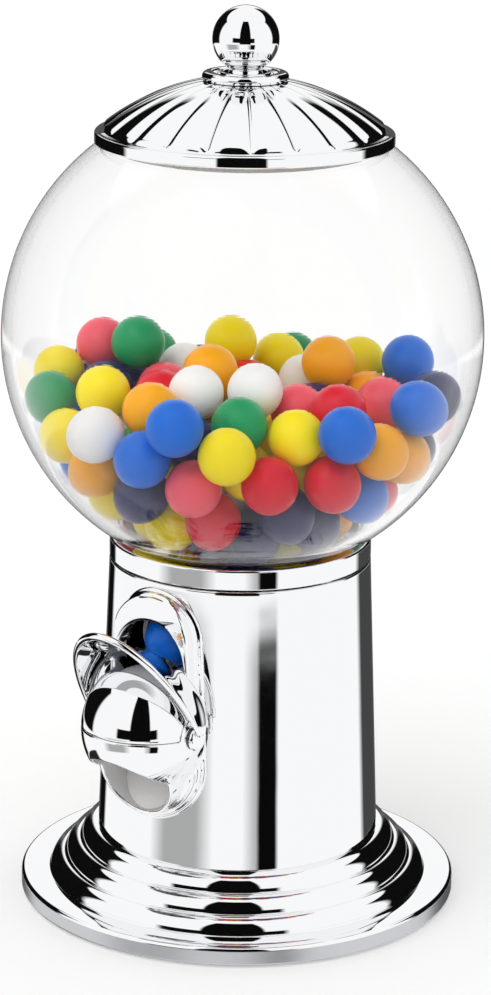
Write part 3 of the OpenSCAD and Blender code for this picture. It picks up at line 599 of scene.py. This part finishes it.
def column_distance(x, y, z, proud):
    """Distance from the column's outside, grown by proud."""
    z0, z1 = low_mm("column_shell"), top_mm("column_shell")
    slope = (COLUMN_FOOT_R - COLUMN_TOP_R) / (z1 - z0)
    r = COLUMN_FOOT_R - slope * (z - z0) + proud
    return (np.hypot(x, y) - r) / math.hypot(1, slope)


def egg_distance(x, z, inset):
    """Distance from the plate's outline: two circles and the straight sides that touch both."""
    low_r, high_r = PLATE_LOW_R - inset, PLATE_HIGH_R - inset
    h = PLATE_HIGH_Z - PLATE_LOW_Z
    b = (low_r - high_r) / h
    a = math.sqrt(1 - b * b)
    px, pz = np.abs(x), z - PLATE_LOW_Z
    k = -b * px + a * pz
    low, high = np.hypot(px, pz) - low_r, np.hypot(px, pz - h) - high_r
    return np.where(k < 0, low, np.where(k > a * h, high, a * px + b * pz - low_r))


def pivot_radius(y, z):
    return np.hypot(y - PIVOT_Y, z - PIVOT_Z)


def pod_distance(x, y, z, grow=0.0):
    """Distance from the pod, a short round-cheeked drum about the lever's axis."""
    return np.hypot(x, np.maximum(pivot_radius(y, z) - POD_FLAT, 0.0)) - POD_HALF - grow


def sector_distance(y, z, low, high):
    """Negative between two angles about the pivot, counted up from the forward direction."""
    forward, up = PIVOT_Y - y, z - PIVOT_Z
    a0, a1 = math.radians(low), math.radians(high)
    over_low = forward * math.sin(a0) - up * math.cos(a0)
    over_high = up * math.cos(a1) - forward * math.sin(a1)
    return np.maximum(over_low, over_high)


def outlet_frame(x, y, z):
    """Distance from the outlet's axis, and how far behind its face a point lies."""
    c, s = math.cos(OUTLET_TILT), math.sin(OUTLET_TILT)
    dy, dz = y - OUTLET_Y, z - OUTLET_Z
    along = dy * c + dz * s
    across = -dy * s + dz * c
    return np.hypot(x, across), along


def hood_distance(x, y, z):
    forward, up = HOOD_Y - y, z - HOOD_Z
    outside = np.hypot(np.maximum(forward, 0), np.maximum(up, 0))
    hood = outside - HOOD_R + np.minimum(np.maximum(forward, up), 0)
    return soft_max(soft_max(hood, egg_distance(x, z, LAYER_INSET), 0.9), HOOD_LOW_Z - z)


def spout_form(x, y, z):
    """The spout before its openings: layered plate, hood, pod, outlet and window tube."""
    body = None
    for i in range(LAYERS):
        face = column_distance(x, y, z, LAYER_H * (i + 1))
        layer = soft_max(egg_distance(x, z, LAYER_INSET * i), face, 0.7)
        body = layer if body is None else soft_min(body, layer, 0.3)
    body = soft_min(body, hood_distance(x, y, z), 0.6)
    body = soft_min(body, pod_distance(x, y, z), 1.2)
    radius, along = outlet_frame(x, y, z)
    outlet = soft_max(soft_max(radius - OUTLET_R - OUTLET_WALL, -along), along - OUTLET_LEN)
    body = soft_min(body, outlet, 1.6)
    tube = soft_max(np.hypot(x, z - WINDOW_Z) - TUBE_R, TUBE_FRONT_Y - y)
    body = soft_min(body, soft_max(tube, y - TUBE_BACK_Y))
    behind = -column_distance(x, y, z, COLUMN_GAP)
    beside = np.maximum(opening_distance(x, z, TUBE_R), 0.01)
    return np.maximum(body, np.minimum(behind, beside))


def cover_seat_distance(x, y, z):
    """Room in the pod for the front cover, but not in the cheeks round the pivot."""
    seat = np.maximum(pod_distance(x, y, z, 1.0), sector_distance(y, z, SEAM_ANGLE - COVER_GAP, RIM_ANGLE))
    seat = np.maximum(seat, -pod_distance(x, y, z, -POD_WALL - COVER_GAP))
    return np.maximum(seat, CHEEK_R - pivot_radius(y, z))


def spout_distance(x, y, z):
    body = spout_form(x, y, z)
    beside = np.abs(x) - CAVITY_HALF
    cavity = soft_max(pod_distance(x, y, z, -POD_WALL), beside)
    body = soft_max(body, -cavity)
    body = soft_max(body, WINDOW_R - np.hypot(x, z - WINDOW_Z), 1.0)
    radius, along = outlet_frame(x, y, z)
    bore = np.maximum(radius - OUTLET_R, along - OUTLET_BORE)
    body = soft_max(body, -bore, 0.6)
    way = np.maximum(pod_distance(x, y, z, 2.0), sector_distance(y, z, RIM_ANGLE, REAR_WAY_ANGLE))
    body = soft_max(body, -np.maximum(way, beside))
    body = soft_max(body, -cover_seat_distance(x, y, z), 0.5)
    body = soft_max(body, -np.maximum(along, z - JAW_Z), 0.8)
    throat = np.maximum(np.hypot(x, z - THROAT_Z) - THROAT_R, THROAT_FRONT_Y - y)
    return np.maximum(body, -throat)


def cover_distance(x, y, z):
    shell = soft_max(pod_distance(x, y, z), -pod_distance(x, y, z, -POD_WALL), 0.9)
    shell = soft_max(shell, sector_distance(y, z, SEAM_ANGLE, RIM_ANGLE), 0.9)
    return soft_max(shell, CHEEK_R + 0.05 - pivot_radius(y, z))


def distance_mesh(distance, low, high, step):
    """Closed mesh of a distance function's zero level, by surface nets."""
    axes = [np.arange(a - 2 * step, b + 3 * step, step) for a, b in zip(low, high)]
    values = np.empty([len(a) for a in axes], np.float32)
    for i, x in enumerate(axes[0]):
        values[i] = distance(x, axes[1][:, None], axes[2][None, :])
    inside = values < 0
    sizes = inside.shape
    corners = [inside[i:sizes[0] - 1 + i, j:sizes[1] - 1 + j, k:sizes[2] - 1 + k]
               for i in (0, 1) for j in (0, 1) for k in (0, 1)]
    count = sum(c.astype(np.int8) for c in corners)
    mixed = (count > 0) & (count < 8)
    index = np.full(mixed.shape, -1, np.int64)
    cells = np.argwhere(mixed)
    index[mixed] = np.arange(len(cells))
    origin = np.array([a[0] for a in axes])
    home = origin + (cells + 0.5) * step
    points = to_surface(distance, home, step)
    faces = []
    for axis in range(3):
        a = np.moveaxis(inside, axis, 0)
        c = np.moveaxis(index, axis, 0)
        first, second = a[:-1, 1:-1, 1:-1], a[1:, 1:-1, 1:-1]
        quads = [c[:, :-1, :-1], c[:, 1:, :-1], c[:, 1:, 1:], c[:, :-1, 1:]]
        for change, flip in ((first & ~second, False), (~first & second, True)):
            ring = [q[change] for q in quads]
            if flip != (axis == 1):
                ring.reverse()
            faces.append(np.stack(ring, 1))
    return points, np.concatenate(faces).tolist()


def to_surface(distance, home, step, h=0.02, rounds=4):
    """The points moved onto the distance function's zero level, each kept near its own cell."""
    points = home
    for _ in range(rounds):
        x, y, z = points.T
        grad = np.stack([distance(x + h, y, z) - distance(x - h, y, z),
                         distance(x, y + h, z) - distance(x, y - h, z),
                         distance(x, y, z + h) - distance(x, y, z - h)], 1) / (2 * h)
        size = np.maximum((grad ** 2).sum(1), 0.2)
        move = np.clip(distance(x, y, z) / size, -0.4 * step, 0.4 * step)
        points = points - move[:, None] * grad
    return np.clip(points, home - 0.75 * step, home + 0.75 * step)


MESH_STEP = 0.28


def make_distance_piece(name, distance, low, high, replaced):
    points, faces = distance_mesh(distance, low, high, MESH_STEP)
    return make_piece(name, points, faces, CHROME, "frame", replaced)


def make_spout():
    low, high = (-18.6, -64.0, 33.0), (18.6, -24.0, 103.4)
    housing = make_distance_piece("spout_housing", spout_distance, low, high, ["spout_body"])
    housing.data.materials.append(PLASTIC)
    for face in housing.data.polygons:
        radius, behind = outlet_frame(*(face.center / MM))
        if radius < OUTLET_R + 0.15 and behind > 0.7:
            face.material_index = 1
    low, high = (-17.8, -64.0, 62.0), (17.8, -46.0, 81.5)
    make_distance_piece("spout_dome", cover_distance, low, high, ["spout_front_cover"])


make_spout()

# ---- the lever ----

LIP_ANGLE = 56.0
REAR_ANGLE = 90.0
SIDE_ANGLE = 12.0                  # how much further back the rear edge runs at the sides
LIP_REACH = 37.5
LIP_FLARE = 2.6                    # how late the visor turns outward, as a power
LIP_BEAD, LIP_FADE = 0.9, 2.2      # extra thickness at the lip, and the degrees it fades over
LEVER_T = 1.5
LEVER_GAP = 0.5
LEVER_HALF = POD_HALF + LEVER_GAP + LEVER_T
EAR_R, EAR_EDGE, EAR_DOME = 3.6, 0.3, 1.2


def lever_surface(across, up):
    """A point of the lever's outer surface, from its two angles in degrees."""
    share = max(0.0, REAR_ANGLE - up) / (REAR_ANGLE - LIP_ANGLE)
    rise = (LIP_REACH - POD_FLAT - LEVER_HALF) * share ** LIP_FLARE
    a, b = math.radians(across), math.radians(up)
    r = POD_FLAT + (LEVER_HALF + rise) * math.cos(a)
    return np.array([LEVER_HALF * math.sin(a), PIVOT_Y - r * math.cos(b), PIVOT_Z + r * math.sin(b)])


def lever_normal(across, up, h=0.05):
    u = lever_surface(min(across + h, 89.9), up) - lever_surface(min(across, 89.8) - h, up)
    v = lever_surface(across, up + h) - lever_surface(across, up - h)
    n = np.cross(v, u)
    return n / np.linalg.norm(n)


def bead(start, end, way, count=10):
    """Points of a half circle between start and end that bulges the given way."""
    way = way / np.linalg.norm(way)
    mid = (start + end) / 2
    half = np.linalg.norm(start - end) / 2
    radial = (start - mid) / half
    turns = [math.pi * k / count for k in range(1, count)]
    return [mid + half * (radial * math.cos(t) + way * math.sin(t)) for t in turns]


def lever_ring(across, n_up):
    """Outline of the visor's wall on one plane through the pivot's axis."""
    a = math.radians(across)
    rear = REAR_ANGLE + SIDE_ANGLE * math.sin(a) ** 6
    ups = [LIP_ANGLE + 0.6 + (rear - 0.8 - LIP_ANGLE) * j / n_up for j in range(n_up + 1)]
    outer = [lever_surface(across, up) for up in ups]
    inner = []
    for point, up in zip(outer, ups):
        thick = LEVER_T + LIP_BEAD * math.cos(a) * math.exp((LIP_ANGLE - up) / LIP_FADE)
        inner.append(point - lever_normal(across, up) * thick)
    ring = outer + bead(outer[-1], inner[-1], outer[-1] - outer[-2])
    return ring + inner[::-1] + bead(inner[0], outer[0], outer[0] - outer[1])


def make_lever():
    """The visor, closed at both ends by a small domed ear on the pivot's axis."""
    n_across, n_up = 120, 44
    rows = [lever_ring(-90 + 180 * i / n_across, n_up) for i in range(n_across + 1)]
    m = len(rows[0])
    points = [p for ring in rows for p in ring]
    faces = skin(n_across + 1, m, closed=False)
    faces.append(tuple(range(m)))
    faces.append(tuple(reversed(range(n_across * m, (n_across + 1) * m))))
    outline = [(AXIS_R, 0.0), (EAR_R - EAR_EDGE, 0.0)]
    outline += arc(EAR_R - EAR_EDGE, EAR_EDGE, EAR_EDGE, -90, 0, 4)
    outline += arc(EAR_R - EAR_DOME, LEVER_T - EAR_DOME, EAR_DOME, 0, 90, 8) + [(AXIS_R, LEVER_T)]
    disc, quads = lathe_data(outline, 64)
    for side in (-1, 1):
        start = len(points)
        for x, y, z in disc:
            points.append(np.array([side * (LEVER_HALF - LEVER_T + z), PIVOT_Y + side * x, PIVOT_Z + y]))
        faces += [tuple(start + q for q in quad) for quad in quads]
    return make_piece("lever_visor", points, faces, CHROME, "lever", ["lever"])


make_lever()

# ---- gumballs ----

BALL_R = 8.0
FLATTENING = 0.018                 # at most, along any axis


def islands(mesh):
    """A mesh's points, and for each the number of the separate solid that it belongs to."""
    n = len(mesh.vertices)
    parent = np.arange(n)
    edges = np.array([e.vertices[:] for e in mesh.edges])
    while True:
        low = np.minimum(parent[edges[:, 0]], parent[edges[:, 1]])
        new = parent.copy()
        np.minimum.at(new, edges[:, 0], low)
        np.minimum.at(new, edges[:, 1], low)
        new = new[new]
        if (new == parent).all():
            break
        parent = new
    co = np.empty(n * 3)
    mesh.vertices.foreach_get("co", co)
    co = co.reshape(-1, 3) / MM
    return co, parent


def ball_centres(node):
    """Middles of the node's whole gumballs."""
    co, group = islands(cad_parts[node].data)
    found = []
    for g in np.unique(group):
        part = co[group == g]
        low, high = part.min(0), part.max(0)
        if (high - low).min() > 1.5 * BALL_R:
            found.append((low + high) / 2)
    return found


def unit_ball(rings=28, sides=48):
    """A ball of radius 1, with small flat caps at its poles."""
    outline = [(math.sin(t), -math.cos(t)) for t in np.linspace(0.001, math.pi - 0.001, rings)]
    points, faces = lathe_data(outline, sides, closed=False)
    n = len(points)
    faces.append(tuple(reversed(range(sides))))
    faces.append(tuple(range(n - sides, n)))
    return np.array(points), faces


def make_gumballs():
    """One piece a colour: balls a little out of round, each turned its own way."""
    ball, ball_faces = unit_ball()
    rng = np.random.default_rng(7)
    for colour, rgba in CANDY.items():
        node = "gumballs_" + colour
        mat = candy_material("candy_" + colour, rgba)
        points, faces = [], []
        for centre in ball_centres(node):
            turn = np.linalg.qr(rng.normal(size=(3, 3)))[0]
            if np.linalg.det(turn) < 0:
                turn[:, 0] *= -1
            squash = 1 - rng.uniform(0, FLATTENING, 3)
            start = len(points) * len(ball)
            points.append(centre + (ball * squash * BALL_R) @ turn.T)
            faces += [tuple(start + i for i in f) for f in ball_faces]
        make_piece("candy_" + colour, np.concatenate(points), faces, mat, "frame", [node])


make_gumballs()

# ---- finishes of the CAD pieces that stay ----

SHOWN = {
    STEEL: ["base_plate", "base_screws", "column_screws", "collar_screws", "spout_screws", "pivot_bushes",
            "pivot_pins", "return_spring", "finial_stud", "finial_washer", "finial_nut"],
    PLASTIC: ["hopper", "globe_lock_ring", "outlet_slide", "dispensing_gate", "lid_liner"],
    SILICONE: ["globe_gasket", "lid_gasket"],
    RUBBER: ["rubber_feet"]}
for mat, names in SHOWN.items():
    for name in names:
        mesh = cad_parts[name].data
        mesh.materials.clear()
        mesh.materials.append(mat)

# ---- floor, world and lamp ----

FLOOR_R = 900
FLOOR_Z = -0.05
WORLD_LEVEL = 0.82                 # light from all round; the lamp gives the rest
LAMP_HEIGHT = math.radians(58)
LAMP_SOFTNESS = math.radians(50)
LAMP_SIDE = (-0.5, -0.6)           # in the camera's heading: to the left and in front


def make_floor():
    mat, n = material("floor")
    paths = n.add("ShaderNodeLightPath").outputs
    matt = n.add("ShaderNodeBsdfDiffuse", {"Color": (0.9, 0.9, 0.9, 1)})
    white = n.add("ShaderNodeEmission", {"Color": (1, 1, 1, 1), "Strength": 0.14})
    seen = n.add("ShaderNodeAddShader", {0: matt.outputs[0], 1: white.outputs[0]})
    clear = n.add("ShaderNodeBsdfTransparent")
    surface = n.add("ShaderNodeMixShader", {
        0: paths["Is Glossy Ray"], 1: seen.outputs[0], 2: clear.outputs[0]})
    finish_material(n, surface.outputs[0])
    points, faces = lathe_data([(AXIS_R, FLOOR_Z), (FLOOR_R, FLOOR_Z)], 96, closed=False)
    mesh = bpy.data.meshes.new("floor")
    points = [(x * MM, y * MM, z * MM) for x, y, z in points]
    mesh.from_pydata(points, [], [tuple(reversed(face)) for face in faces])
    mesh.materials.append(mat)
    floor = bpy.data.objects.new("floor", mesh)
    bpy.context.scene.collection.objects.link(floor)


# Dark cards round the object, which only its reflections see. Each has the headings of its left
# and right side, counted from the camera's own towards its right, then its lower and upper height
# and the softness of its sides, all in degrees, and its grey.
CARDS = [
    (-22, 18, -12.8, 68, 2, 0.003),       # in front, and the wider one across it
    (-48, 32, -8, 8, 4, 0.003),
    (4, 32, -30, -13.4, 10, 0.5),         # the column's dark stripe and its grey left part
    (15, 34, -30, -13.4, 3, 0.003),
    (-76, -20, -30, -13.4, 14, 0.42),
    (-168, -100, -12.6, 40, 5, 0.004),    # to the left, and under it
    (-168, -140, -30, -13, 5, 0.004),
    (-168, -100, -70, -30, 5, 0.02),
    (100, 168, -12.6, 40, 5, 0.004),      # to the right, and under it
    (122, 170, -30, -13, 7, 0.06),
    (160, 190, -60, 14, 6, 0.09),         # behind, low down
    (-190, -160, -60, 14, 6, 0.09),
]


def make_world():
    world = bpy.data.worlds.new("studio")
    world.use_nodes = True
    scene.world = world
    n = Nodes(world.node_tree)
    direction = n.add("ShaderNodeTexCoord").outputs["Generated"]
    parts = n.add("ShaderNodeSeparateXYZ", {0: direction})
    azimuth = n.math("ARCTAN2", parts.outputs[0], n.math("MULTIPLY", parts.outputs[1], -1.0))
    degrees = n.math("MULTIPLY", azimuth, math.degrees(1))
    heading = n.math("SUBTRACT", degrees, math.degrees(CAMERA_AZIMUTH))
    heading = n.math("WRAP", heading, 180.0, -180.0)
    height = n.math("MULTIPLY", n.math("ARCSINE", parts.outputs[2]), math.degrees(1))
    shade = (1, 1, 1, 1)
    for left, right, low, high, soft, grey in CARDS:
        across, upright = n.band(heading, left, right, soft), n.band(height, low, high, 1.0)
        card = n.math("MULTIPLY", across, upright)
        shade = n.mix(card, shade, (grey, grey, grey, 1))
    paths = n.add("ShaderNodeLightPath").outputs
    colour = n.mix(paths["Is Glossy Ray"], (WORLD_LEVEL, WORLD_LEVEL, WORLD_LEVEL, 1), shade)
    plain = n.math("MAXIMUM", paths["Is Camera Ray"], paths["Is Transmission Ray"])
    colour = n.mix(plain, colour, (1, 1, 1, 1))
    background = n.add("ShaderNodeBackground", {"Color": colour, "Strength": 1.0})
    n.add("ShaderNodeOutputWorld", {"Surface": background.outputs[0]})


def make_lamp():
    data = bpy.data.lights.new("softbox", "SUN")
    data.energy = (1 - WORLD_LEVEL) * math.pi / math.sin(LAMP_HEIGHT)
    data.angle = LAMP_SOFTNESS
    lamp = bpy.data.objects.new("softbox", data)
    lamp.visible_glossy = False
    level = turned(*LAMP_SIDE).normalized() * math.cos(LAMP_HEIGHT)
    toward = level + Vector((0, 0, math.sin(LAMP_HEIGHT)))
    lamp.rotation_mode = "QUATERNION"
    lamp.rotation_quaternion = toward.to_track_quat("Z", "Y")
    bpy.context.scene.collection.objects.link(lamp)


make_lamp()
make_floor()
make_world()
